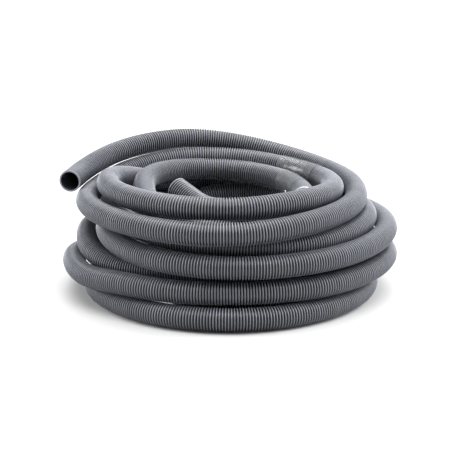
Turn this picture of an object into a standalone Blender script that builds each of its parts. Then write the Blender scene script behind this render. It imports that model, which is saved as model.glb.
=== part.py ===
"""Ribbed waste hose lying in a loose coil, with both of its ends plain cut.

One length of hose is wound clockwise, seen from above, into a free-standing coil about nine and
a half turns long.  The route is described in hose diameters, as an angle round the coil, a
distance from the coil's centre and a height above the ground, and is scaled to metres once.
"""
import math

import bmesh
import bpy
import numpy as np
from mathutils import Matrix, Vector

# ---------------------------------------------------------------- driving dimensions, in metres
HOSE_OD = 0.0295
HOSE_BORE = 0.0250
CLEARANCE = 0.0003
JOINT_RUN = 0.0025            # straight on both sides of a joint between two nodes
STUB_LENGTH = 0.036           # straight at each cut end
TIE_THICKNESS = 0.0010
TIE_WIDTH = 0.0030
TIE_GAP = 0.0014              # from the hose to the strap, which is faceted
TIE_HEAD = (0.0036, 0.0050, 0.0046)
TIE_ARC_STEPS = 14
FILM_THICKNESS = 0.0004
FILM_GAP = 0.0005             # from the hose to the film, which is faceted
FILM_CUTTER_OVERRUN = 0.1     # of the last ring spacing, past each open end of the film
BORE_CUTTER_OVERRUN = 0.004   # past the mouth of a cut end

# ---------------------------------------------------------------- route, in hose diameters
# Angle in degrees, distance from the coil's centre, height of the hose's middle.
# 0 is the left of the coil, 90 the back, 180 the right and 270 the front; each turn adds 360.
OUTER_TAIL = [
    (-1, 6.96, 4.96), (5, 6.91, 4.88), (11.5, 6.80, 4.87), (19, 6.67, 4.94), (28, 6.57, 5.11),
    (45, 6.36, 5.47), (68, 6.20, 5.70), (90, 6.10, 5.48), (112, 6.08, 5.03), (135, 6.11, 4.63),
]
TOP_OUTER_TURN = [
    (180, 5.74, 4.34), (225, 5.75, 4.22), (270, 5.95, 4.03), (315, 6.10, 4.10), (340, 6.30, 4.17),
    (360, 6.42, 4.22), (405, 5.85, 4.66), (450, 5.20, 4.85), (495, 4.98, 4.56),
]
TOP_INNER_TURN = [
    (540, 4.68, 4.66), (585, 4.78, 4.90), (630, 5.00, 4.86), (675, 5.25, 4.92), (720, 5.45, 4.85),
    (765, 5.20, 3.98), (810, 5.40, 3.80), (855, 5.85, 3.50),
]
THIRD_TURN = [
    (900, 6.18, 3.46), (945, 5.65, 3.25), (990, 5.15, 3.30), (1035, 5.15, 3.60),
    (1080, 5.37, 3.93), (1125, 5.50, 3.50), (1170, 6.10, 3.05), (1215, 6.75, 3.00),
]
FOURTH_TURN = [
    (1260, 7.07, 2.87), (1305, 6.50, 2.72), (1350, 6.05, 2.64), (1380, 5.95, 2.75),
    (1410, 5.65, 2.88), (1440, 5.50, 3.05), (1485, 5.90, 2.55), (1530, 6.30, 2.08),
    (1575, 6.20, 2.15),
]
FIFTH_TURN = [
    (1620, 6.35, 2.32), (1665, 5.55, 2.14), (1710, 4.90, 2.05), (1755, 5.20, 1.85),
    (1770, 5.86, 1.82), (1785, 6.33, 2.08), (1800, 6.39, 2.48), (1845, 6.75, 1.95),
    (1890, 6.95, 1.30), (1935, 7.05, 1.45),
]
SIXTH_TURN = [
    (1980, 7.15, 1.66), (2025, 6.45, 1.57), (2070, 5.90, 1.50), (2115, 6.35, 1.45),
    (2160, 7.06, 1.38), (2205, 7.05, 0.75), (2250, 6.30, 0.50), (2295, 6.20, 0.50),
]
BOTTOM_TURN = [
    (2340, 6.27, 0.50), (2385, 6.30, 0.50), (2430, 6.35, 0.50), (2475, 6.25, 0.50),
    (2520, 6.05, 0.50), (2565, 5.50, 0.50), (2610, 5.10, 0.60),
]
RISING_TURN = [
    (2700, 5.00, 0.74), (2790, 4.85, 0.84), (2835, 4.40, 0.98), (2880, 4.30, 1.70),
    (2925, 4.40, 2.60), (2970, 4.42, 3.35), (3015, 4.50, 3.30),
]
LOOP_ON_TOP = [
    (3060, 4.45, 3.15), (3105, 4.20, 3.35), (3150, 4.10, 3.60), (3172, 4.20, 3.80),
    (3195, 4.10, 4.15), (3240, 3.82, 4.60), (3256, 4.00, 4.72), (3283, 4.30, 4.66),
    (3330, 4.08, 4.54), (3375, 3.70, 4.34), (3400, 3.41, 4.29),
]
INNER_TAIL = [
    (3429, 3.49, 4.28), (3452, 3.64, 4.30), (3475, 3.61, 4.38), (3499, 3.41, 4.44),
    (3520, 3.12, 4.34), (3542.5, 2.76, 4.47), (3554.5, 2.62, 4.74), (3567, 2.59, 5.08),
]
ROUTE = (OUTER_TAIL + TOP_OUTER_TURN + TOP_INNER_TURN + THIRD_TURN + FOURTH_TURN + FIFTH_TURN
         + SIXTH_TURN + BOTTOM_TURN + RISING_TURN + LOOP_ON_TOP + INNER_TAIL)

KEY_SAMPLES = 60000           # along the keys' curve, before it is spaced evenly
POINT_SPACING = 0.25          # between the route's working points
ROUNDING = 2.4                # how far the corners between keys are rounded, in working points
TURN_SPACING = 1.020          # least distance between the middles of two turns
SAME_TURN = 2.6               # points nearer than this along the hose are never pushed apart
PUSH_ROUNDS = 120
PUSH_GAIN = 1.6
PUSH_WIDTH = 4.0              # how far a push spreads along the hose, in working points
LOWEST_MIDDLE = 0.5
LOOK_AHEAD = 0.05             # how far on the hose's direction is read

# ---------------------------------------------------------------- how the hose is divided
DEGREES_PER_RING = 15.0
RING_MARGIN = 0.25            # least part of a step between a joint and the next ring
FIRST_JOINT = 90.0            # turns meet at the back of the coil
TURN_NAMES = ["hose_turn_%d" % number for number in range(1, 10)]
STUB_SIDES = 32
HOSE_SIDES_LEVEL = 4          # bevel resolution: 12 sides
FILM_SIDES_LEVEL = 10         # 24 sides

# Where the tie and the two wraps of film sit, as angles along the route.
TIE_UPPER = 3435.0
TIE_LOWER = 3075.0
TIE_TAIL = (0.0010, 0.025, 0.0027)
FILMS = {
    "film_turn_2": (480.0, 495.0, 510.0),
    "film_inner_loop": (3375.0, 3390.0, 3405.0),
}

HOSE_COLOUR = (0.22, 0.23, 0.25, 1.0)
TIE_COLOUR = (0.75, 0.76, 0.76, 1.0)
FILM_COLOUR = (0.80, 0.82, 0.84, 1.0)


# ---------------------------------------------------------------- helpers
def clear_scene():
    for obj in list(bpy.data.objects):
        bpy.data.objects.remove(obj, do_unlink=True)


def new_collection(name):
    collection = bpy.data.collections.new(name)
    bpy.context.scene.collection.children.link(collection)
    return collection


def material(name, colour, roughness, alpha=1.0):
    mat = bpy.data.materials.new(name)
    mat.use_nodes = True
    shader = mat.node_tree.nodes["Principled BSDF"]
    shader.inputs["Base Color"].default_value = colour
    shader.inputs["Roughness"].default_value = roughness
    shader.inputs["Metallic"].default_value = 0.0
    shader.inputs["Alpha"].default_value = alpha
    return mat


def smooth_through(keys_at, values, at):
    """Cubic curve through the keys, with each key's slope taken from its two neighbours."""
    keys_at = np.asarray(keys_at, dtype=float)
    values = np.asarray(values, dtype=float)
    span = np.diff(keys_at)
    slope = np.diff(values) / span
    tangent = np.empty(len(values))
    tangent[1:-1] = (span[1:] * slope[:-1] + span[:-1] * slope[1:]) / (span[1:] + span[:-1])
    tangent[0] = slope[0]
    tangent[-1] = slope[-1]
    cell = np.clip(np.searchsorted(keys_at, at, side="right") - 1, 0, len(span) - 1)
    u = (at - keys_at[cell]) / span[cell]
    start = (2 * u ** 3 - 3 * u ** 2 + 1) * values[cell]
    start += (u ** 3 - 2 * u ** 2 + u) * span[cell] * tangent[cell]
    end = (3 * u ** 2 - 2 * u ** 3) * values[cell + 1]
    end += (u ** 3 - u ** 2) * span[cell] * tangent[cell + 1]
    return start + end


def blur_along(values, width):
    """Gaussian blur of a column of vectors along the hose, with both ends held."""
    reach = int(4 * width)
    kernel = np.exp(-0.5 * (np.arange(-reach, reach + 1) / width) ** 2)
    kernel /= kernel.sum()
    blurred = np.empty_like(values)
    for axis in range(values.shape[1]):
        column = values[:, axis]
        before = 2 * column[0] - column[reach:0:-1]
        after = 2 * column[-1] - column[-2:-reach - 2:-1]
        blurred[:, axis] = np.convolve(np.concatenate([before, column, after]), kernel, "valid")
    return blurred


def length_along(points):
    steps = np.linalg.norm(np.diff(points, axis=0), axis=1)
    return np.concatenate([[0.0], np.cumsum(steps)])


def at_length(points, along, where):
    """Points on the smooth middle line at the given lengths along it."""
    return np.stack([smooth_through(along, points[:, axis], where) for axis in range(3)], axis=1)


def push_turns_apart(points):
    """Move touching turns apart until every pair of turns is a hose diameter apart."""
    for _ in range(PUSH_ROUNDS):
        along = length_along(points)
        apart = points[:, None] - points[None]
        distance = np.linalg.norm(apart, axis=2)
        other_turn = np.abs(along[:, None] - along[None]) > SAME_TURN
        first, second = np.nonzero((distance < TURN_SPACING) & other_turn)
        if len(first) == 0:
            break
        near = distance[first, second][:, None]
        step = apart[first, second] / near * (TURN_SPACING - near) * 0.5
        push = np.zeros_like(points)
        count = np.zeros(len(points))
        np.add.at(push, first, step)
        np.add.at(count, first, 1.0)
        push /= np.maximum(count, 1.0)[:, None]
        points = points + blur_along(push, PUSH_WIDTH) * PUSH_GAIN
        points[:, 2] = np.maximum(points[:, 2], LOWEST_MIDDLE)
    return points


def straighten_end(points):
    """The first stretch, one stub long, made straight in the direction in which it ends."""
    along = length_along(points)
    stub = STUB_LENGTH / HOSE_OD
    inside = along > stub
    root = at_length(points, along, np.array([stub]))[0]
    beyond = at_length(points, along, np.array([stub + LOOK_AHEAD]))[0]
    direction = (beyond - root) / np.linalg.norm(beyond - root)
    straight = root - direction * (stub - along[~inside])[:, None]
    return np.concatenate([straight, points[inside]])


def centred(points):
    """Moved so that the origin is under the middle of the coil's box, on the ground."""
    way = np.gradient(points, axis=0)
    way /= np.linalg.norm(way, axis=1)[:, None]
    reach = HOSE_OD / 2 * np.sqrt(1.0 - way ** 2)
    low = (points - reach).min(axis=0)
    high = (points + reach).max(axis=0)
    return points - np.array([(low[0] + high[0]) / 2, (low[1] + high[1]) / 2, low[2]])


def hose_route():
    """The hose's middle line in metres, and the angle round the coil at each of its points."""
    key_angles = [key[0] for key in ROUTE]
    fine_angles = np.linspace(key_angles[0], key_angles[-1], KEY_SAMPLES)
    radius = smooth_through(key_angles, [key[1] for key in ROUTE], fine_angles)
    height = smooth_through(key_angles, [key[2] for key in ROUTE], fine_angles)
    turn = np.radians(fine_angles)
    fine = np.stack([-radius * np.cos(turn), radius * np.sin(turn), height], axis=1)
    along = length_along(fine)
    even = np.linspace(0.0, along[-1], int(along[-1] / POINT_SPACING))
    points = np.stack([np.interp(even, along, fine[:, axis]) for axis in range(3)], axis=1)
    angles = np.interp(even, along, fine_angles)
    points = push_turns_apart(blur_along(points, ROUNDING))
    points = straighten_end(points)
    points = straighten_end(points[::-1])[::-1]
    return centred(points * HOSE_OD), angles


def stretch(points, angles, start, end):
    """Ring middles from one length to another, one for each fixed step of angle, ends kept."""
    along = length_along(points)
    first_ring = math.ceil(np.interp(start, along, angles) / DEGREES_PER_RING + RING_MARGIN)
    last_ring = math.floor(np.interp(end, along, angles) / DEGREES_PER_RING - RING_MARGIN)
    ring_angles = np.arange(first_ring, last_ring + 1) * DEGREES_PER_RING
    ring_lengths = np.interp(ring_angles, angles, along)
    where = np.concatenate([[start, start + JOINT_RUN], ring_lengths, [end - JOINT_RUN, end]])
    return at_length(points, along, where)


def tube_curve(name, points, radius, level, mat, collection):
    """A plain round tube through the points, as a bevelled polyline with filled caps."""
    curve = bpy.data.curves.new(name, "CURVE")
    curve.dimensions = "3D"
    curve.bevel_depth = radius
    curve.bevel_resolution = level
    curve.resolution_u = 1
    curve.render_resolution_u = 0
    curve.use_fill_caps = True
    spline = curve.splines.new("POLY")
    spline.points.add(len(points) - 1)
    for spline_point, point in zip(spline.points, points):
        spline_point.co = (point[0], point[1], point[2], 1.0)
        spline_point.radius = 1.0
    obj = bpy.data.objects.new(name, curve)
    obj.data.materials.append(mat)
    collection.objects.link(obj)
    return obj


def curve_to_mesh(curve_obj, collection):
    """The same tube as a mesh, with its caps welded to its wall."""
    bpy.context.view_layer.update()
    evaluated = curve_obj.evaluated_get(bpy.context.evaluated_depsgraph_get())
    mesh = bpy.data.meshes.new_from_object(evaluated)
    name = curve_obj.name
    matrix = curve_obj.matrix_world.copy()
    bpy.data.objects.remove(curve_obj, do_unlink=True)
    mesh.name = name
    shape = bmesh.new()
    shape.from_mesh(mesh)
    bmesh.ops.remove_doubles(shape, verts=shape.verts, dist=1e-6)
    bmesh.ops.recalc_face_normals(shape, faces=shape.faces)
    shape.to_mesh(mesh)
    shape.free()
    obj = bpy.data.objects.new(name, mesh)
    obj.matrix_world = matrix
    collection.objects.link(obj)
    return obj


def cut(obj, cutter):
    """Subtract a cutter, which stays in the scene as a hidden wire guide."""
    cutter.hide_render = True
    cutter.display_type = "WIRE"
    boolean = obj.modifiers.new("cut " + cutter.name, "BOOLEAN")
    boolean.operation = "DIFFERENCE"
    boolean.solver = "EXACT"
    boolean.object = cutter


# ---------------------------------------------------------------- the hose
def open_end(name, mouth, inward, mat, parts, cutters):
    """A straight cut end of the hose: a short round stub with the bore open at its mouth."""
    stub_axis = Vector(inward).normalized()
    turn = stub_axis.to_track_quat("Z", "Y").to_matrix().to_4x4()
    bpy.ops.mesh.primitive_cylinder_add(vertices=STUB_SIDES, radius=HOSE_OD / 2,
                                        depth=STUB_LENGTH)
    stub = bpy.context.object
    stub.name = name
    stub.data.name = name
    stub.matrix_world = Matrix.Translation(Vector(mouth) + stub_axis * STUB_LENGTH / 2) @ turn
    stub.data.materials.append(mat)
    move_to(stub, parts)
    bore_depth = STUB_LENGTH - (HOSE_OD - HOSE_BORE) / 2
    bpy.ops.mesh.primitive_cylinder_add(vertices=STUB_SIDES, radius=HOSE_BORE / 2,
                                        depth=bore_depth + BORE_CUTTER_OVERRUN)
    bore = bpy.context.object
    bore.name = name + "_bore_cutter"
    middle = Vector(mouth) + stub_axis * (bore_depth - BORE_CUTTER_OVERRUN) / 2
    bore.matrix_world = Matrix.Translation(middle) @ turn
    move_to(bore, cutters)
    cut(stub, bore)
    return stub


def move_to(obj, collection):
    for owner in list(obj.users_collection):
        owner.objects.unlink(obj)
    collection.objects.link(obj)


def build_hose(points, angles, mat, parts, cutters):
    along = length_along(points)
    total = along[-1]
    mouth = points[0]
    behind_mouth = at_length(points, along, np.array([STUB_LENGTH]))[0]
    open_end("hose_end_outer", mouth, behind_mouth - mouth, mat, parts, cutters)
    inner_mouth = points[-1]
    behind_inner = at_length(points, along, np.array([total - STUB_LENGTH]))[0]
    open_end("hose_end_inner", inner_mouth, behind_inner - inner_mouth, mat, parts, cutters)

    joints = [STUB_LENGTH]
    for number in range(len(TURN_NAMES) + 1):
        joints.append(np.interp(FIRST_JOINT + 360.0 * number, angles, along))
    joints.append(total - STUB_LENGTH)
    names = ["hose_tail_outer"] + TURN_NAMES + ["hose_tail_inner"]
    for name, start, end in zip(names, joints[:-1], joints[1:]):
        rings = stretch(points, angles, start + CLEARANCE, end - CLEARANCE)
        tube_curve(name, rings, HOSE_OD / 2, HOSE_SIDES_LEVEL, mat, parts)


# ---------------------------------------------------------------- tie and film
def frame_at(points, along, where):
    """Middle of the hose at a length along it, and its direction there."""
    here = at_length(points, along, np.array([where]))[0]
    ahead = at_length(points, along, np.array([where + LOOK_AHEAD * HOSE_OD]))[0]
    return Vector(here), (Vector(ahead) - Vector(here)).normalized()


def oval(name, reach, span, thickness, matrix, collection):
    """A flat oval plate round two hoses: half circles about both, joined by straight sides."""
    curve = bpy.data.curves.new(name, "CURVE")
    curve.dimensions = "2D"
    curve.fill_mode = "BOTH"
    curve.extrude = thickness / 2
    spline = curve.splines.new("POLY")
    outline = []
    for centre, first in ((0.0, 0.0), (-span, math.pi)):
        for step in range(TIE_ARC_STEPS + 1):
            sweep = first + math.pi * step / TIE_ARC_STEPS
            outline.append((math.cos(sweep) * reach, centre + math.sin(sweep) * reach))
    spline.points.add(len(outline) - 1)
    for spline_point, (x, y) in zip(spline.points, outline):
        spline_point.co = (x, y, 0.0, 1.0)
    spline.use_cyclic_u = True
    obj = bpy.data.objects.new(name, curve)
    obj.matrix_world = matrix
    collection.objects.link(obj)
    return curve_to_mesh(obj, collection)


def block(name, size, matrix, collection):
    bpy.ops.mesh.primitive_cube_add(size=1.0)
    obj = bpy.context.object
    obj.name = name
    obj.data.transform(Matrix.Diagonal((*size, 1.0)))
    obj.matrix_world = matrix
    move_to(obj, collection)
    return obj


def join_to(obj, piece):
    piece.hide_render = True
    piece.display_type = "WIRE"
    boolean = obj.modifiers.new("join " + piece.name, "BOOLEAN")
    boolean.operation = "UNION"
    boolean.solver = "EXACT"
    boolean.object = piece


def cable_tie(name, upper, lower, direction, mat, parts, cutters):
    """A thin tie round two turns, with its square head on the coil's inner side.

    In the tie's own frame +X points to the coil's middle, +Y from the lower turn to the upper
    one and Z along the hose.
    """
    lift = upper - lower
    lift -= direction * lift.dot(direction)
    y_axis = lift.normalized()
    x_axis = y_axis.cross(direction)
    if x_axis.dot(Vector((-upper.x, -upper.y, 0.0))) < 0.0:
        x_axis.negate()
    z_axis = x_axis.cross(y_axis)
    matrix = Matrix.Translation(upper) @ Matrix((x_axis, y_axis, z_axis)).transposed().to_4x4()
    inside = HOSE_OD / 2 + TIE_GAP
    outside = inside + TIE_THICKNESS
    strap = oval(name, outside, lift.length, TIE_WIDTH, matrix, parts)
    hollow = oval(name + "_hollow", inside, lift.length, TIE_WIDTH * 2, matrix, cutters)
    cut(strap, hollow)
    head_x = inside + TIE_HEAD[0] / 2
    head = block(name + "_head", TIE_HEAD, matrix @ Matrix.Translation((head_x, 0.0, 0.0)), cutters)
    join_to(strap, head)
    tail_x = inside + TIE_HEAD[0] - TIE_THICKNESS
    tail_place = Matrix.Translation((tail_x, TIE_TAIL[1] / 2, 0.0))
    tail = block(name + "_tail", TIE_TAIL, matrix @ tail_place, cutters)
    join_to(strap, tail)
    strap.data.materials.clear()
    strap.data.materials.append(mat)
    return strap


def film_sleeve(name, points, angles, ring_angles, mat, parts, cutters):
    """Clear film wrapped once round the hose: a thin sleeve, open at both ends."""
    along = length_along(points)
    ring_lengths = np.interp(ring_angles, angles, along)
    rings = at_length(points, along, ring_lengths)
    inner_radius = HOSE_OD / 2 + FILM_GAP
    outer = tube_curve(name, rings, inner_radius + FILM_THICKNESS, FILM_SIDES_LEVEL, mat, parts)
    sleeve = curve_to_mesh(outer, parts)
    longer = rings.copy()
    longer[0] += (rings[0] - rings[1]) * FILM_CUTTER_OVERRUN
    longer[-1] += (rings[-1] - rings[-2]) * FILM_CUTTER_OVERRUN
    inner = tube_curve(name + "_cutter", longer, inner_radius, FILM_SIDES_LEVEL, mat, cutters)
    cut(sleeve, curve_to_mesh(inner, cutters))
    return sleeve


def main():
    clear_scene()
    parts = new_collection("waste_hose_coil")
    cutters = new_collection("cutters")
    points, angles = hose_route()
    hose_pvc = material("hose_pvc", HOSE_COLOUR, 0.42)
    tie_nylon = material("tie_nylon", TIE_COLOUR, 0.40)
    clear_film = material("clear_film", FILM_COLOUR, 0.15, alpha=0.3)
    build_hose(points, angles, hose_pvc, parts, cutters)
    along = length_along(points)
    upper, upper_way = frame_at(points, along, np.interp(TIE_UPPER, angles, along))
    lower, lower_way = frame_at(points, along, np.interp(TIE_LOWER, angles, along))
    direction = (upper_way + lower_way).normalized()
    cable_tie("cable_tie", upper, lower, direction, tie_nylon, parts, cutters)
    for name, ring_angles in FILMS.items():
        film_sleeve(name, points, angles, ring_angles, clear_film, parts, cutters)


main()
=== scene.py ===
"""Looks of the coiled, ribbed waste hose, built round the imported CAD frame.

The hose's route is worked out here just as the CAD works it out: a list of places round the coil,
in hose diameters, read as one smooth curve whose turns are pushed a diameter apart.
"""
import math

import bmesh
import bpy
import numpy as np
from mathutils import Matrix, Vector

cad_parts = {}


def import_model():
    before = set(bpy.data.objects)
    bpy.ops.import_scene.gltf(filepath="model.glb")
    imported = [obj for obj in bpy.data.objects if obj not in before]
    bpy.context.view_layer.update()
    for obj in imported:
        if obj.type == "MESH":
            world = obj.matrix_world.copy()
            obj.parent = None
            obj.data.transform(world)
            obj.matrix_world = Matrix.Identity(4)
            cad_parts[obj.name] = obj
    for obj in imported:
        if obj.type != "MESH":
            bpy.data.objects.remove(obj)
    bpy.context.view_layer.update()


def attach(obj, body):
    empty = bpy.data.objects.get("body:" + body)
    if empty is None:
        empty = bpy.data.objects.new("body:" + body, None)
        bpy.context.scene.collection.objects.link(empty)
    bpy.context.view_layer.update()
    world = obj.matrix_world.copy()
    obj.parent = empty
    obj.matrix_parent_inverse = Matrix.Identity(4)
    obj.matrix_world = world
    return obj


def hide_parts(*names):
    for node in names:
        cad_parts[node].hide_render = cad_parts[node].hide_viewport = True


# ---------------------------------------------------------------- the hose, in metres
HOSE_OD = 0.0295
HOSE_BORE = 0.0250
STUB_LENGTH = 0.036
RIB_PITCH = 0.0035
RIB_DEPTH = 0.0018
LINER_OUTSIDE = 0.0254        # diameter of the thin tube inside the ribs
RIB_SIDES = 28
LINER_SIDES = 24
LINER_STEP = 0.0080           # between the liner's rings
MOUTH_STEP = RIB_PITCH / 4    # between its rings near a mouth, where they show
MOUTH_ZONE = 0.055
RIB_SEED = 11
RIB_UNEVENNESS = 0.06         # how much lower the lowest rib is
LINER_OVERLAP = 0.00005
BORE_RIPPLE = 0.00012         # how far the ribs show in the bore
SAME_PLACE = 1e-7

# One rib: place along the pitch, and height from the groove's bottom, both as fractions.
RIB_PROFILE = ((0.00, 0.00), (0.23, 0.30), (0.37, 0.92), (0.50, 1.00), (0.63, 0.92), (0.77, 0.30))
MOUTH_LIP = 0.3               # part of a pitch that stays at full height at a cut end
LIP_PAINTED_HIGHLIGHT_TONE = 0.9                # on the ribs' scale of tone, from 0 to 1; set high, it paints a highlight on the lip

# ---------------------------------------------------------------- route, in hose diameters
# Angle in degrees, distance from the coil's centre, height of the hose's middle.
# 0 is the left of the coil, 90 the back, 180 the right and 270 the front; each turn adds 360.
OUTER_TAIL = [
    (-1, 6.96, 4.96), (5, 6.91, 4.88), (11.5, 6.80, 4.87), (19, 6.67, 4.94), (28, 6.57, 5.11),
    (45, 6.36, 5.47), (68, 6.20, 5.70), (90, 6.10, 5.48), (112, 6.08, 5.03), (135, 6.11, 4.63),
]
TOP_OUTER_TURN = [
    (180, 5.74, 4.34), (225, 5.75, 4.22), (270, 5.95, 4.03), (315, 6.10, 4.10), (340, 6.30, 4.17),
    (360, 6.42, 4.22), (405, 5.85, 4.66), (450, 5.20, 4.85), (495, 4.98, 4.56),
]
TOP_INNER_TURN = [
    (540, 4.68, 4.66), (585, 4.78, 4.90), (630, 5.00, 4.86), (675, 5.25, 4.92), (720, 5.45, 4.85),
    (765, 5.20, 3.98), (810, 5.40, 3.80), (855, 5.85, 3.50),
]
THIRD_TURN = [
    (900, 6.18, 3.46), (945, 5.65, 3.25), (990, 5.15, 3.30), (1035, 5.15, 3.60),
    (1080, 5.37, 3.93), (1125, 5.50, 3.50), (1170, 6.10, 3.05), (1215, 6.75, 3.00),
]
FOURTH_TURN = [
    (1260, 7.07, 2.87), (1305, 6.50, 2.72), (1350, 6.05, 2.64), (1380, 5.95, 2.75),
    (1410, 5.65, 2.88), (1440, 5.50, 3.05), (1485, 5.90, 2.55), (1530, 6.30, 2.08),
    (1575, 6.20, 2.15),
]
FIFTH_TURN = [
    (1620, 6.35, 2.32), (1665, 5.55, 2.14), (1710, 4.90, 2.05), (1755, 5.20, 1.85),
    (1770, 5.86, 1.82), (1785, 6.33, 2.08), (1800, 6.39, 2.48), (1845, 6.75, 1.95),
    (1890, 6.95, 1.30), (1935, 7.05, 1.45),
]
SIXTH_TURN = [
    (1980, 7.15, 1.66), (2025, 6.45, 1.57), (2070, 5.90, 1.50), (2115, 6.35, 1.45),
    (2160, 7.06, 1.38), (2205, 7.05, 0.75), (2250, 6.30, 0.50), (2295, 6.20, 0.50),
]
BOTTOM_TURN = [
    (2340, 6.27, 0.50), (2385, 6.30, 0.50), (2430, 6.35, 0.50), (2475, 6.25, 0.50),
    (2520, 6.05, 0.50), (2565, 5.50, 0.50), (2610, 5.10, 0.60),
]
RISING_TURN = [
    (2700, 5.00, 0.74), (2790, 4.85, 0.84), (2835, 4.40, 0.98), (2880, 4.30, 1.70),
    (2925, 4.40, 2.60), (2970, 4.42, 3.35), (3015, 4.50, 3.30),
]
LOOP_ON_TOP = [
    (3060, 4.45, 3.15), (3105, 4.20, 3.35), (3150, 4.10, 3.60), (3172, 4.20, 3.80),
    (3195, 4.10, 4.15), (3240, 3.82, 4.60), (3256, 4.00, 4.72), (3283, 4.30, 4.66),
    (3330, 4.08, 4.54), (3375, 3.70, 4.34), (3400, 3.41, 4.29),
]
INNER_TAIL = [
    (3429, 3.49, 4.28), (3452, 3.64, 4.30), (3475, 3.61, 4.38), (3499, 3.41, 4.44),
    (3520, 3.12, 4.34), (3542.5, 2.76, 4.47), (3554.5, 2.62, 4.74), (3567, 2.59, 5.08),
]
ROUTE = (OUTER_TAIL + TOP_OUTER_TURN + TOP_INNER_TURN + THIRD_TURN + FOURTH_TURN + FIFTH_TURN
         + SIXTH_TURN + BOTTOM_TURN + RISING_TURN + LOOP_ON_TOP + INNER_TAIL)

KEY_SAMPLES = 60000           # along the keys' curve, before it is spaced evenly
POINT_SPACING = 0.25          # between the route's working points
ROUNDING = 2.4                # how far the corners between keys are rounded, in working points
TURN_SPACING = 1.020          # least distance between the middles of two turns
SAME_TURN = 2.6               # points nearer than this along the hose are never pushed apart
PUSH_ROUNDS = 120
PUSH_GAIN = 1.6
PUSH_WIDTH = 4.0              # how far a push spreads along the hose, in working points
LOWEST_MIDDLE = 0.5
LOOK_AHEAD = 0.05             # how far on the hose's direction is read
WAY_REACH = 0.002             # the same for the visible hose, both ways, in metres

FIRST_JOINT = 90.0            # the turns' pieces meet at the back of the coil
TURN_COUNT = 9
TURN_NODES = ["hose_turn_%d" % number for number in range(1, TURN_COUNT + 1)]
HOSE_NODES = ["hose_end_outer", "hose_tail_outer"] + TURN_NODES + ["hose_tail_inner", "hose_end_inner"]

# ---------------------------------------------------------------- tie and film
TIE_THICKNESS = 0.0010
TIE_WIDTH = 0.0030
TIE_GAP = 0.0014              # as in the CAD
TIE_HEAD = (0.0036, 0.0050, 0.0046)
TIE_UPPER = 3435.0            # angle along the route at the upper turn, and at the lower one
TIE_LOWER = 3075.0
TIE_TAIL = 0.025
TIE_LEAN = -1.0               # below 0 the tail curls back over the hose
TIE_TAIL_STRAIGHT = 0.15      # part of the tail that stays straight beside the lock
TIE_TAIL_NARROWING = 0.86     # width of the tail, and its thickness, against the strap's
TIE_TAIL_THINNING = 0.8
TIE_TAIL_STEP = 0.0005
TIE_SLACK = 0.0006            # how far the runs between the turns pull in
TIE_ARC_STEPS = 24
TIE_RUN_STEPS = 10
TIE_CORNER = 0.3              # of the strap's thickness
LOCK_SLOT_INSET = 0.0008
LOCK_SLOT_DEPTH = 0.0007
LOCK_EDGE = 0.0003
LOCK_LONG_EDGE = 0.0034       # only edges longer than this are softened
FILMS = {
    # name: the CAD's node, first angle along the route, last angle, seed of its creases
    "crinkled_film_turn_2": ("film_turn_2", 480.0, 510.0, 5),
    "crinkled_film_inner_loop": ("film_inner_loop", 3375.0, 3405.0, 8),
}
FILM_GAP = 0.0004
FILM_CREASE = 0.0010
FILM_THICKNESS = 0.00012
FILM_RINGS = 110
FILM_SIDES = 72
FILM_FOLDS = 14

# ---------------------------------------------------------------- camera, in hose diameters
CAMERA_TARGET = (0.0, -0.2, 2.75)      # from the route's own centre
CAMERA_DISTANCE = 65.0
CAMERA_ELEVATION = 15.0
FOCAL_LENGTH = 113.4
SENSOR_WIDTH = 36.0

# ---------------------------------------------------------------- looks
# Noise scales are in waves a metre.
PVC_COLOUR = (0.101, 0.106, 0.123)
PVC_ROUGHNESS = 0.36
PVC_ROUGHNESS_LOW = PVC_ROUGHNESS - 0.07
PVC_ROUGHNESS_HIGH = PVC_ROUGHNESS + 0.09
PVC_SHEEN_LEVEL = 0.35        # specular level
PVC_PATCH_SCALE = 16.0
PVC_SCUFF_SCALE = 300.0
PVC_SCUFF_BUMP = 0.08
PVC_SCUFF_HEIGHT = 0.00015
GROOVE_PAINTED_SHADE = 0.01            # brightness of the grooves and of the crests, times the colour: painted shade in the grooves, a painted highlight on the crests
CREST_PAINTED_HIGHLIGHT = 1.58
# Darker than the ribbed wall's colour: painted shade inside the bore.
LINER_PAINTED_SHADE_COLOUR = (0.040, 0.042, 0.047)
LINER_ROUGHNESS = 0.38
LINER_PATCH_SCALE = 60.0
NYLON_COLOUR = (0.62, 0.63, 0.62)
NYLON_ROUGHNESS = 0.36
NYLON_CLOUD_SCALE = 300.0
NYLON_GLOW_WEIGHT = 0.25
NYLON_GLOW_DEPTH = 0.0012
FILM_COLOUR = (0.15, 0.155, 0.165)
FILM_ROUGHNESS = 0.10
FILM_IOR = 1.6
FILM_WRINKLE_SCALE = 110.0
FILM_WRINKLE_BUMP = 0.5
FILM_WRINKLE_HEIGHT = 0.0005
FLOOR_HEIGHT = -0.0005
FLOOR_SIZE = 12.0
FLOOR_ROUGHNESS = 0.9
FLOOR_COLOUR = (0.41, 0.41, 0.41)
WORLD_STRENGTH = 0.50
CEILING_STRENGTH = 8.6
CEILING_SPREAD = 90.0
CEILING_WAY = (-0.22, -0.20, -1.0)
LIGHT_TARGET = (0.0, 0.0, 0.08)
LIGHTS = (
    # name, place, size, power
    ("side_left", (-1.7, 0.15, 0.55), (0.8, 1.0), 45.0),
    ("side_right", (1.7, 0.15, 0.55), (0.8, 1.0), 45.0),
)


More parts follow.
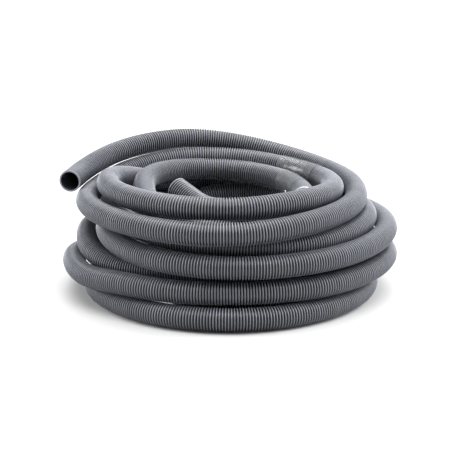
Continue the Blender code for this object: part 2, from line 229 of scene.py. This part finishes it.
# ---------------------------------------------------------------- the route, as in the CAD
def smooth_through(keys_at, values, at):
    """Cubic curve through the keys, with each key's slope taken from its two neighbours."""
    keys_at = np.asarray(keys_at, dtype=float)
    values = np.asarray(values, dtype=float)
    span = np.diff(keys_at)
    slope = np.diff(values) / span
    tangent = np.empty(len(values))
    tangent[1:-1] = (span[1:] * slope[:-1] + span[:-1] * slope[1:]) / (span[1:] + span[:-1])
    tangent[0] = slope[0]
    tangent[-1] = slope[-1]
    cell = np.clip(np.searchsorted(keys_at, at, side="right") - 1, 0, len(span) - 1)
    u = (at - keys_at[cell]) / span[cell]
    start = (2 * u ** 3 - 3 * u ** 2 + 1) * values[cell]
    start += (u ** 3 - 2 * u ** 2 + u) * span[cell] * tangent[cell]
    end = (3 * u ** 2 - 2 * u ** 3) * values[cell + 1]
    end += (u ** 3 - u ** 2) * span[cell] * tangent[cell + 1]
    return start + end


def blur_along(values, width):
    """Gaussian blur of a column of vectors along the hose, with both ends held."""
    reach = int(4 * width)
    kernel = np.exp(-0.5 * (np.arange(-reach, reach + 1) / width) ** 2)
    kernel /= kernel.sum()
    blurred = np.empty_like(values)
    for axis in range(values.shape[1]):
        column = values[:, axis]
        before = 2 * column[0] - column[reach:0:-1]
        after = 2 * column[-1] - column[-2:-reach - 2:-1]
        blurred[:, axis] = np.convolve(np.concatenate([before, column, after]), kernel, "valid")
    return blurred


def length_along(points):
    steps = np.linalg.norm(np.diff(points, axis=0), axis=1)
    return np.concatenate([[0.0], np.cumsum(steps)])


def at_length(points, along, where):
    """Points on the smooth middle line at the given lengths along it."""
    return np.stack([smooth_through(along, points[:, axis], where) for axis in range(3)], axis=1)


def push_turns_apart(points):
    """Move touching turns apart until every pair of turns is a hose diameter apart."""
    for _ in range(PUSH_ROUNDS):
        along = length_along(points)
        apart = points[:, None] - points[None]
        distance = np.linalg.norm(apart, axis=2)
        other_turn = np.abs(along[:, None] - along[None]) > SAME_TURN
        first, second = np.nonzero((distance < TURN_SPACING) & other_turn)
        if len(first) == 0:
            break
        near = distance[first, second][:, None]
        step = apart[first, second] / near * (TURN_SPACING - near) * 0.5
        push = np.zeros_like(points)
        count = np.zeros(len(points))
        np.add.at(push, first, step)
        np.add.at(count, first, 1.0)
        push /= np.maximum(count, 1.0)[:, None]
        points = points + blur_along(push, PUSH_WIDTH) * PUSH_GAIN
        points[:, 2] = np.maximum(points[:, 2], LOWEST_MIDDLE)
    return points


def straighten_end(points):
    """The first stretch, one stub long, made straight in the direction in which it ends."""
    along = length_along(points)
    stub = STUB_LENGTH / HOSE_OD
    inside = along > stub
    root = at_length(points, along, np.array([stub]))[0]
    beyond = at_length(points, along, np.array([stub + LOOK_AHEAD]))[0]
    direction = (beyond - root) / np.linalg.norm(beyond - root)
    straight = root - direction * (stub - along[~inside])[:, None]
    return np.concatenate([straight, points[inside]])


def centring_shift(points):
    """What moves the coil so that the origin is under the middle of its box, on the ground."""
    way = np.gradient(points, axis=0)
    way /= np.linalg.norm(way, axis=1)[:, None]
    reach = HOSE_OD / 2 * np.sqrt(1.0 - way ** 2)
    low = (points - reach).min(axis=0)
    high = (points + reach).max(axis=0)
    return -np.array([(low[0] + high[0]) / 2, (low[1] + high[1]) / 2, low[2]])


def hose_route():
    """The hose's middle line in metres, the angle at each of its points, and the centring shift."""
    key_angles = [key[0] for key in ROUTE]
    fine_angles = np.linspace(key_angles[0], key_angles[-1], KEY_SAMPLES)
    radius = smooth_through(key_angles, [key[1] for key in ROUTE], fine_angles)
    height = smooth_through(key_angles, [key[2] for key in ROUTE], fine_angles)
    turn = np.radians(fine_angles)
    fine = np.stack([-radius * np.cos(turn), radius * np.sin(turn), height], axis=1)
    along = length_along(fine)
    even = np.linspace(0.0, along[-1], int(along[-1] / POINT_SPACING))
    points = np.stack([np.interp(even, along, fine[:, axis]) for axis in range(3)], axis=1)
    angles = np.interp(even, along, fine_angles)
    points = push_turns_apart(blur_along(points, ROUNDING))
    points = straighten_end(points)
    points = straighten_end(points[::-1])[::-1] * HOSE_OD
    shift = centring_shift(points)
    return points + shift, angles, shift


class Line:
    """The hose's middle line, with its direction, its level side and its upper side."""

    def __init__(self, points, angles):
        self.points = points
        self.angles = angles
        self.along = length_along(points)
        self.length = self.along[-1]

    def at_angle(self, angle):
        return np.interp(angle, self.angles, self.along)

    def at(self, where):
        return at_length(self.points, self.along, np.asarray(where, dtype=float))

    def frames(self, where):
        """Middle, direction, side and up at each length; side is level, to the hose's right."""
        where = np.asarray(where, dtype=float)
        middle = self.at(where)
        ahead = self.at(np.minimum(where + WAY_REACH, self.length))
        way = ahead - self.at(np.maximum(where - WAY_REACH, 0.0))
        way /= np.linalg.norm(way, axis=1)[:, None]
        side = np.cross(way, [0.0, 0.0, 1.0])
        side /= np.linalg.norm(side, axis=1)[:, None]
        return middle, way, side, np.cross(side, way)


# ---------------------------------------------------------------- mesh helpers
def grid_mesh(name, rows, wrap_rows=False, flat_rows=()):
    """A mesh from rows of points, each row a closed ring; the outside is on the ring's outside.

    flat_rows are the bands between two rows that are shaded flat, which keeps their edges sharp.
    """
    row_count, side_count = rows.shape[:2]
    mesh = bpy.data.meshes.new(name)
    ids = np.arange(row_count * side_count).reshape(row_count, side_count)
    upper = np.roll(ids, -1, axis=0) if wrap_rows else ids[1:]
    lower = ids if wrap_rows else ids[:-1]
    quads = np.stack([lower, upper, np.roll(upper, -1, axis=1), np.roll(lower, -1, axis=1)], axis=-1)
    band_count = len(lower)
    quads = quads.reshape(-1, 4)
    mesh.vertices.add(row_count * side_count)
    mesh.vertices.foreach_set("co", np.ascontiguousarray(rows, dtype=np.float32).ravel())
    mesh.loops.add(len(quads) * 4)
    mesh.loops.foreach_set("vertex_index", quads.astype(np.int32).ravel())
    mesh.polygons.add(len(quads))
    mesh.polygons.foreach_set("loop_start", np.arange(0, len(quads) * 4, 4, dtype=np.int32))
    smooth = np.ones((band_count, side_count), dtype=bool)
    for row in flat_rows:
        smooth[row] = False
    mesh.polygons.foreach_set("use_smooth", smooth.ravel())
    mesh.update(calc_edges=True)
    mesh.validate()
    obj = bpy.data.objects.new(name, mesh)
    bpy.context.scene.collection.objects.link(obj)
    return obj


def add_values(obj, name, values):
    """One number for each vertex, for a material to read."""
    layer = obj.data.attributes.new(name, "FLOAT", "POINT")
    layer.data.foreach_set("value", np.ascontiguousarray(values, dtype=np.float32).ravel())


def rings(line, where, radius, sides):
    """Rings of points round the hose; radius is one number for each ring, or one for each point."""
    middle, _, side, up = line.frames(where)
    turn = np.arange(sides) / sides * 2 * math.pi
    radius = np.asarray(radius, dtype=float)
    if radius.ndim == 1:
        radius = radius[:, None]
    across = np.cos(turn)[None, :, None] * side[:, None] + np.sin(turn)[None, :, None] * up[:, None]
    return middle[:, None] + across * radius[..., None]


def set_material(obj, mat):
    obj.data.materials.clear()
    obj.data.materials.append(mat)


# ---------------------------------------------------------------- materials
def new_material(name, base, roughness):
    mat = bpy.data.materials.new(name)
    mat.use_nodes = True
    nodes = mat.node_tree.nodes
    shader = nodes["Principled BSDF"]
    shader.inputs["Base Color"].default_value = (*base, 1.0)
    shader.inputs["Roughness"].default_value = roughness
    return mat, nodes, mat.node_tree.links, shader


def noise(nodes, links, coordinates, scale, detail, roughness=0.5):
    texture = nodes.new("ShaderNodeTexNoise")
    texture.inputs["Scale"].default_value = scale
    texture.inputs["Detail"].default_value = detail
    texture.inputs["Roughness"].default_value = roughness
    links.new(coordinates, texture.inputs["Vector"])
    return texture.outputs["Fac"]


def remap(nodes, links, value, low, high, to_low, to_high):
    node = nodes.new("ShaderNodeMapRange")
    node.inputs["From Min"].default_value = low
    node.inputs["From Max"].default_value = high
    node.inputs["To Min"].default_value = to_low
    node.inputs["To Max"].default_value = to_high
    links.new(value, node.inputs["Value"])
    return node.outputs["Result"]


def multiply(nodes, links, first, second):
    node = nodes.new("ShaderNodeMath")
    node.operation = "MULTIPLY"
    links.new(first, node.inputs[0])
    links.new(second, node.inputs[1])
    return node.outputs[0]


def tinted(nodes, links, colour, brightness):
    """A colour times a brightness."""
    node = nodes.new("ShaderNodeVectorMath")
    node.operation = "SCALE"
    node.inputs[0].default_value = colour
    links.new(brightness, node.inputs["Scale"])
    return node.outputs["Vector"]


def add_bump(nodes, links, shader, height, strength, distance):
    bump = nodes.new("ShaderNodeBump")
    bump.inputs["Strength"].default_value = strength
    bump.inputs["Distance"].default_value = distance
    links.new(height, bump.inputs["Height"])
    links.new(bump.outputs["Normal"], shader.inputs["Normal"])


def ribbed_pvc():
    """Satin grey PVC with painted shade in the grooves and a painted highlight on the ribs' crests;
    its tone also varies at random by rib, in patches and in fine scuffs.
    """
    mat, nodes, links, shader = new_material("ribbed_pvc", PVC_COLOUR, PVC_ROUGHNESS)
    place = nodes.new("ShaderNodeTexCoord").outputs["Object"]
    crest = nodes.new("ShaderNodeAttribute")
    crest.attribute_name = "crest"
    rib = nodes.new("ShaderNodeAttribute")
    rib.attribute_name = "rib_tone"
    patches = noise(nodes, links, place, PVC_PATCH_SCALE, 3.0)
    scuffs = noise(nodes, links, place, PVC_SCUFF_SCALE, 3.0)
    # The rib height squared sets painted shade towards the grooves and a painted highlight towards the
    # crests.
    height = multiply(nodes, links, crest.outputs["Fac"], crest.outputs["Fac"])
    tone = remap(nodes, links, height, 0.0, 1.0, GROOVE_PAINTED_SHADE, CREST_PAINTED_HIGHLIGHT)
    tone = multiply(nodes, links, tone, remap(nodes, links, rib.outputs["Fac"], 0, 1, 0.93, 1.07))
    tone = multiply(nodes, links, tone, remap(nodes, links, patches, 0.3, 0.7, 0.90, 1.10))
    tone = multiply(nodes, links, tone, remap(nodes, links, scuffs, 0.3, 0.7, 0.97, 1.03))
    links.new(tinted(nodes, links, PVC_COLOUR, tone), shader.inputs["Base Color"])
    rough = remap(nodes, links, scuffs, 0.25, 0.75, PVC_ROUGHNESS_LOW, PVC_ROUGHNESS_HIGH)
    links.new(rough, shader.inputs["Roughness"])
    add_bump(nodes, links, shader, scuffs, PVC_SCUFF_BUMP, PVC_SCUFF_HEIGHT)
    shader.inputs["Specular IOR Level"].default_value = PVC_SHEEN_LEVEL
    return mat


def liner_pvc():
    """The inside of the hose: smoother grey PVC, painted darker as shade inside the bore."""
    mat, nodes, links, shader = new_material("liner_pvc", LINER_PAINTED_SHADE_COLOUR, LINER_ROUGHNESS)
    place = nodes.new("ShaderNodeTexCoord").outputs["Object"]
    patches = noise(nodes, links, place, LINER_PATCH_SCALE, 4.0)
    tone = remap(nodes, links, patches, 0.3, 0.7, 0.88, 1.12)
    links.new(tinted(nodes, links, LINER_PAINTED_SHADE_COLOUR, tone), shader.inputs["Base Color"])
    return mat


def natural_nylon():
    """Milky, slightly see-through nylon."""
    mat, nodes, links, shader = new_material("natural_nylon", NYLON_COLOUR, NYLON_ROUGHNESS)
    place = nodes.new("ShaderNodeTexCoord").outputs["Object"]
    cloud = noise(nodes, links, place, NYLON_CLOUD_SCALE, 3.0)
    tone = remap(nodes, links, cloud, 0.3, 0.7, 0.95, 1.05)
    links.new(tinted(nodes, links, NYLON_COLOUR, tone), shader.inputs["Base Color"])
    links.new(remap(nodes, links, cloud, 0.3, 0.7, 0.30, 0.42), shader.inputs["Roughness"])
    shader.inputs["Subsurface Weight"].default_value = NYLON_GLOW_WEIGHT
    shader.inputs["Subsurface Radius"].default_value = (NYLON_GLOW_DEPTH,) * 3
    return mat


def clear_film():
    """Thin clear film: it shows the hose through itself, with crisp glints on its creases."""
    mat, nodes, links, shader = new_material("clear_film", FILM_COLOUR, FILM_ROUGHNESS)
    place = nodes.new("ShaderNodeTexCoord").outputs["Object"]
    wrinkles = noise(nodes, links, place, FILM_WRINKLE_SCALE, 4.0, 0.6)
    links.new(remap(nodes, links, wrinkles, 0.35, 0.70, 0.14, 0.40), shader.inputs["Alpha"])
    links.new(remap(nodes, links, wrinkles, 0.30, 0.70, 0.16, 0.32), shader.inputs["Roughness"])
    add_bump(nodes, links, shader, wrinkles, FILM_WRINKLE_BUMP, FILM_WRINKLE_HEIGHT)
    shader.inputs["IOR"].default_value = FILM_IOR
    return mat


# ---------------------------------------------------------------- the hose
def rib_rings(start, end, mouths, heights, tones):
    """Ring lengths from start to end, and each ring's rib height and rib tone, from 0 to 1.

    Pieces of the wall meet on a rib's crest, and the two halves of that rib match.
    """
    lip = MOUTH_LIP * RIB_PITCH
    where, crest, tone = [], [], []
    for rib in range(int(start / RIB_PITCH), int(end / RIB_PITCH) + 1):
        for fraction, rise in RIB_PROFILE:
            place = (rib + fraction) * RIB_PITCH
            near_mouth = min(abs(place - mouth) for mouth in mouths) < lip
            if start - SAME_PLACE < place < end + SAME_PLACE and not near_mouth:
                where.append(place)
                crest.append(rise * heights[rib])
                tone.append(tones[rib])
    first_mouth, last_mouth = mouths
    # At a cut end the lip stays at full height, so it also takes the crests' painted highlight.
    if start <= first_mouth:
        where = [first_mouth, first_mouth + lip] + where
        crest = [1.0, 1.0] + crest
        tone = [LIP_PAINTED_HIGHLIGHT_TONE, LIP_PAINTED_HIGHLIGHT_TONE] + tone
    if end >= last_mouth:
        where += [last_mouth - lip, last_mouth]
        crest += [1.0, 1.0]
        tone += [LIP_PAINTED_HIGHLIGHT_TONE, LIP_PAINTED_HIGHLIGHT_TONE]
    return np.array(where), np.array(crest), np.array(tone)


def ribbed_wall(name, line, start, end, mat, heights, tones):
    """The hose's ribbed outer wall between two lengths, closed down to the liner at both ends."""
    where, crest, tone = rib_rings(start, end, (0.0, line.length), heights, tones)
    radius = HOSE_OD / 2 - RIB_DEPTH * (1.0 - crest)
    skirt = LINER_OUTSIDE / 2 - LINER_OVERLAP
    radius = np.concatenate([[skirt], radius, [skirt]])
    where = np.concatenate([where[:1], where, where[-1:]])
    crest = np.concatenate([crest[:1], crest, crest[-1:]])
    tone = np.concatenate([tone[:1], tone, tone[-1:]])
    wall = grid_mesh(name, rings(line, where, radius, RIB_SIDES), flat_rows=(0, len(where) - 2))
    add_values(wall, "crest", np.repeat(crest, RIB_SIDES))
    add_values(wall, "rib_tone", np.repeat(tone, RIB_SIDES))
    set_material(wall, mat)
    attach(wall, "root")
    return wall


def liner_lengths(line):
    """Lengths of the liner's rings: close together near the mouths, where they show."""
    near = np.arange(0.0, MOUTH_ZONE, MOUTH_STEP)
    count = int((line.length - 2 * MOUTH_ZONE) / LINER_STEP)
    middle = np.linspace(MOUTH_ZONE, line.length - MOUTH_ZONE, count)
    return np.concatenate([near, middle, line.length - near[::-1]])


def liner(line, mat):
    """The thin tube inside the ribs: its bore shows at both mouths, faintly ribbed like the wall."""
    where = liner_lengths(line)
    faint = BORE_RIPPLE * np.cos(where / RIB_PITCH * 2 * math.pi)
    bore = rings(line, where, HOSE_BORE / 2 + faint, LINER_SIDES)
    outside = rings(line, where[::-1], np.full(len(where), LINER_OUTSIDE / 2), LINER_SIDES)
    rows = np.concatenate([bore, outside])
    rows = rows[:, ::-1]
    last_bore = len(where) - 1
    tube = grid_mesh("hose", rows, wrap_rows=True, flat_rows=(last_bore, len(rows) - 1))
    set_material(tube, mat)
    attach(tube, "root")
    return tube, line.at(where)


def build_hose(line):
    """The whole hose: one liner from end to end, and a ribbed wall for each stretch."""
    pvc = ribbed_pvc()
    random = np.random.default_rng(RIB_SEED)
    rib_count = int(line.length / RIB_PITCH) + 2
    heights = 1.0 - RIB_UNEVENNESS * random.random(rib_count)
    tones = random.random(rib_count)
    tube, path = liner(line, liner_pvc())
    joints = [0.0, STUB_LENGTH]
    joints += [line.at_angle(FIRST_JOINT + 360.0 * number) for number in range(TURN_COUNT + 1)]
    joints += [line.length - STUB_LENGTH, line.length]
    joints[1:-1] = [(round(joint / RIB_PITCH) + 0.5) * RIB_PITCH for joint in joints[1:-1]]
    walls = []
    for node, start, end in zip(HOSE_NODES, joints[:-1], joints[1:]):
        wall = ribbed_wall(node.replace("hose_", "ribs_"), line, start, end, pvc, heights, tones)
        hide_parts(node)
        walls.append(wall)
    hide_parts(*HOSE_NODES)
    return tube, path, walls


# ---------------------------------------------------------------- tie
def tie_frame(line, upper_angle, lower_angle):
    """The tie's own frame: +X to the coil's middle, +Y from the lower turn to the upper one."""
    lengths = np.array([line.at_angle(upper_angle), line.at_angle(lower_angle)])
    middles = line.at(lengths)
    ahead = line.at(lengths + LOOK_AHEAD * HOSE_OD)
    upper = Vector(middles[0])
    ways = [Vector(ahead[number] - middles[number]).normalized() for number in range(2)]
    direction = (ways[0] + ways[1]).normalized()
    lift = upper - Vector(middles[1])
    lift -= direction * lift.dot(direction)
    y_axis = lift.normalized()
    x_axis = y_axis.cross(direction)
    if x_axis.dot(Vector((-upper.x, -upper.y, 0.0))) < 0.0:
        x_axis.negate()
    z_axis = x_axis.cross(y_axis)
    matrix = Matrix.Translation(upper) @ Matrix((x_axis, y_axis, z_axis)).transposed().to_4x4()
    return matrix, lift.length


def ribbon(name, path, normals, width, thickness, closed):
    """A flat strap with rounded edges along a path in the XY plane; Z is its width."""
    half_width, half_thick = width / 2, thickness / 2
    corner = thickness * TIE_CORNER
    section = [(-half_thick, -half_width + corner), (-half_thick + corner, -half_width),
               (half_thick - corner, -half_width), (half_thick, -half_width + corner),
               (half_thick, half_width - corner), (half_thick - corner, half_width),
               (-half_thick + corner, half_width), (-half_thick, half_width - corner)]
    rows = np.zeros((len(path), len(section), 3))
    for number, (out, up) in enumerate(section):
        rows[:, number, :2] = path + normals * out
        rows[:, number, 2] = up
    return grid_mesh(name, rows, wrap_rows=closed)


def capped(obj):
    """Close the open ends of a strap."""
    shape = bmesh.new()
    shape.from_mesh(obj.data)
    edges = [edge for edge in shape.edges if edge.is_boundary]
    bmesh.ops.holes_fill(shape, edges=edges, sides=0)
    bmesh.ops.recalc_face_normals(shape, faces=shape.faces)
    shape.to_mesh(obj.data)
    shape.free()
    return obj


def strap_loop(name, span):
    """The strap round both turns: half circles about both, and near-straight runs between."""
    radius = HOSE_OD / 2 + TIE_GAP + TIE_THICKNESS / 2
    outline, normals = [], []
    for centre, first in ((0.0, 0.0), (-span, math.pi)):
        for step in range(TIE_ARC_STEPS):
            sweep = first + math.pi * step / TIE_ARC_STEPS
            normals.append((math.cos(sweep), math.sin(sweep)))
            outline.append((math.cos(sweep) * radius, centre + math.sin(sweep) * radius))
        way = -1.0 if first == 0.0 else 1.0
        for step in range(TIE_RUN_STEPS):
            part = step / TIE_RUN_STEPS
            slack = math.sin(math.pi * part) * TIE_SLACK
            normals.append((way, 0.0))
            outline.append((way * (radius - slack), centre + way * part * span))
    return ribbon(name, np.array(outline), np.array(normals), TIE_WIDTH, TIE_THICKNESS, True)


def tie_head(name):
    """The lock: a small block with soft edges and a slot that the strap runs through."""
    shape = bmesh.new()
    bmesh.ops.create_cube(shape, size=1.0)
    bmesh.ops.scale(shape, vec=TIE_HEAD, verts=shape.verts)
    ends = [face for face in shape.faces if abs(face.normal.y) > 0.9]
    bmesh.ops.inset_individual(shape, faces=ends, thickness=LOCK_SLOT_INSET, depth=-LOCK_SLOT_DEPTH)
    shape.normal_update()
    edges = [edge for edge in shape.edges if edge.calc_length() > LOCK_LONG_EDGE]
    bmesh.ops.bevel(shape, geom=edges, offset=LOCK_EDGE, segments=2, affect="EDGES", profile=0.6)
    for face in shape.faces:
        face.smooth = True
    mesh = bpy.data.meshes.new(name)
    shape.to_mesh(mesh)
    shape.free()
    obj = bpy.data.objects.new(name, mesh)
    bpy.context.scene.collection.objects.link(obj)
    return obj


def tie_tail(name):
    """The cut tail beyond the lock: it stands up, and curls a little."""
    steps = int(TIE_TAIL / TIE_TAIL_STEP)
    part = np.linspace(0.0, 1.0, steps)
    root = HOSE_OD / 2 + TIE_GAP + TIE_HEAD[0] - TIE_THICKNESS
    curl = np.maximum(part - TIE_TAIL_STRAIGHT, 0.0) ** 2 * TIE_TAIL * TIE_LEAN / 4
    path = np.stack([root + curl, part * TIE_TAIL], 1)
    normals = np.tile((1.0, 0.0), (steps, 1))
    width = TIE_WIDTH * TIE_TAIL_NARROWING
    thickness = TIE_THICKNESS * TIE_TAIL_THINNING
    return capped(ribbon(name, path, normals, width, thickness, False))


def join(pieces, name):
    """Several meshes as one object, in the frame of the first."""
    shape = bmesh.new()
    for piece in pieces:
        piece.data.transform(piece.matrix_world)
        shape.from_mesh(piece.data)
    mesh = bpy.data.meshes.new(name)
    shape.to_mesh(mesh)
    shape.free()
    for piece in pieces:
        bpy.data.objects.remove(piece, do_unlink=True)
    obj = bpy.data.objects.new(name, mesh)
    bpy.context.scene.collection.objects.link(obj)
    return obj


def build_tie(line):
    """The nylon tie round the inner loop and the turn below it."""
    matrix, span = tie_frame(line, TIE_UPPER, TIE_LOWER)
    head = tie_head("nylon_tie_head")
    head_x = HOSE_OD / 2 + TIE_GAP + TIE_HEAD[0] / 2
    head.matrix_world = Matrix.Translation((head_x, 0.0, 0.0))
    bpy.context.view_layer.update()
    strap = strap_loop("nylon_tie_strap", span)
    tie = join([strap, head, tie_tail("nylon_tie_tail")], "nylon_tie")
    tie.data.transform(matrix)
    set_material(tie, natural_nylon())
    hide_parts("cable_tie")
    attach(tie, "root")
    return tie


# ---------------------------------------------------------------- film
def film_creases(random, along, turn):
    """Height of the film's creases at each place: long soft folds, mostly along the hose."""
    height = np.zeros((len(along), len(turn)))
    for _ in range(FILM_FOLDS):
        slant = random.uniform(-2.4, 2.4)
        around = random.integers(1, 7)
        wave = along[:, None] * random.uniform(30, 260) + around * turn[None] + slant
        height += np.abs(np.sin(wave / 2)) ** 4 * random.uniform(0.2, 1.0)
    return (height - height.min()) / (height.max() - height.min())


def build_films(line):
    """Clear film wrapped once round the hose in two places, lightly creased."""
    mat = clear_film()
    films = []
    turn = np.arange(FILM_SIDES) / FILM_SIDES * 2 * math.pi
    for name, (node, first, last, seed) in FILMS.items():
        where = np.linspace(line.at_angle(first), line.at_angle(last), FILM_RINGS)
        height = film_creases(np.random.default_rng(seed), where - where[0], turn)
        radius = HOSE_OD / 2 + FILM_GAP + height * FILM_CREASE
        film = grid_mesh(name, rings(line, where, radius, FILM_SIDES))
        solidify = film.modifiers.new("film thickness", "SOLIDIFY")
        solidify.thickness = FILM_THICKNESS
        solidify.offset = 1.0
        set_material(film, mat)
        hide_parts(node)
        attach(film, "root")
        films.append(film)
    return films


# ---------------------------------------------------------------- stage
def area_light(name, place, target, size, power):
    light = bpy.data.lights.new(name, "AREA")
    light.shape = "RECTANGLE"
    light.size = size[0]
    light.size_y = size[1]
    light.energy = power
    obj = bpy.data.objects.new(name, light)
    obj.location = place
    way = Vector(target) - Vector(place)
    obj.rotation_euler = way.to_track_quat("-Z", "Y").to_euler()
    bpy.context.scene.collection.objects.link(obj)


def build_stage():
    """A plain pale floor under soft studio light: a broad ceiling, and a softbox on each side."""
    bpy.ops.mesh.primitive_plane_add(size=FLOOR_SIZE, location=(0.0, 0.0, FLOOR_HEIGHT))
    floor = bpy.context.object
    floor.name = "floor"
    mat, _, _, shader = new_material("floor_white", FLOOR_COLOUR, FLOOR_ROUGHNESS)
    shader.inputs["Specular IOR Level"].default_value = 0.0
    floor.data.materials.append(mat)
    world = bpy.data.worlds.new("studio")
    world.use_nodes = True
    background = world.node_tree.nodes["Background"]
    background.inputs["Color"].default_value = (1.0, 1.0, 1.0, 1.0)
    background.inputs["Strength"].default_value = WORLD_STRENGTH
    bpy.context.scene.world = world
    sun = bpy.data.lights.new("ceiling", "SUN")
    sun.energy = CEILING_STRENGTH
    sun.angle = math.radians(CEILING_SPREAD)
    ceiling = bpy.data.objects.new("ceiling", sun)
    ceiling.rotation_euler = Vector(CEILING_WAY).to_track_quat("-Z", "Y").to_euler()
    bpy.context.scene.collection.objects.link(ceiling)
    for name, place, size, power in LIGHTS:
        area_light(name, place, LIGHT_TARGET, size, power)
    bpy.context.scene.view_settings.view_transform = "Standard"


def build_camera(shift):
    target = Vector(CAMERA_TARGET) * HOSE_OD + Vector(shift)
    tilt = math.radians(CAMERA_ELEVATION)
    camera = bpy.data.cameras.new("camera")
    camera.lens = FOCAL_LENGTH
    camera.sensor_width = SENSOR_WIDTH
    obj = bpy.data.objects.new("camera", camera)
    back = Vector((0.0, -math.cos(tilt), math.sin(tilt)))
    obj.location = target + back * CAMERA_DISTANCE * HOSE_OD
    obj.rotation_euler = (-back).to_track_quat("-Z", "Y").to_euler()
    bpy.context.scene.collection.objects.link(obj)
    bpy.context.scene.camera = obj


def main():
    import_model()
    points, angles, shift = hose_route()
    line = Line(points, angles)
    build_camera(shift)
    tube, path, walls = build_hose(line)
    tie = build_tie(line)
    films = build_films(line)
    build_stage()


main()
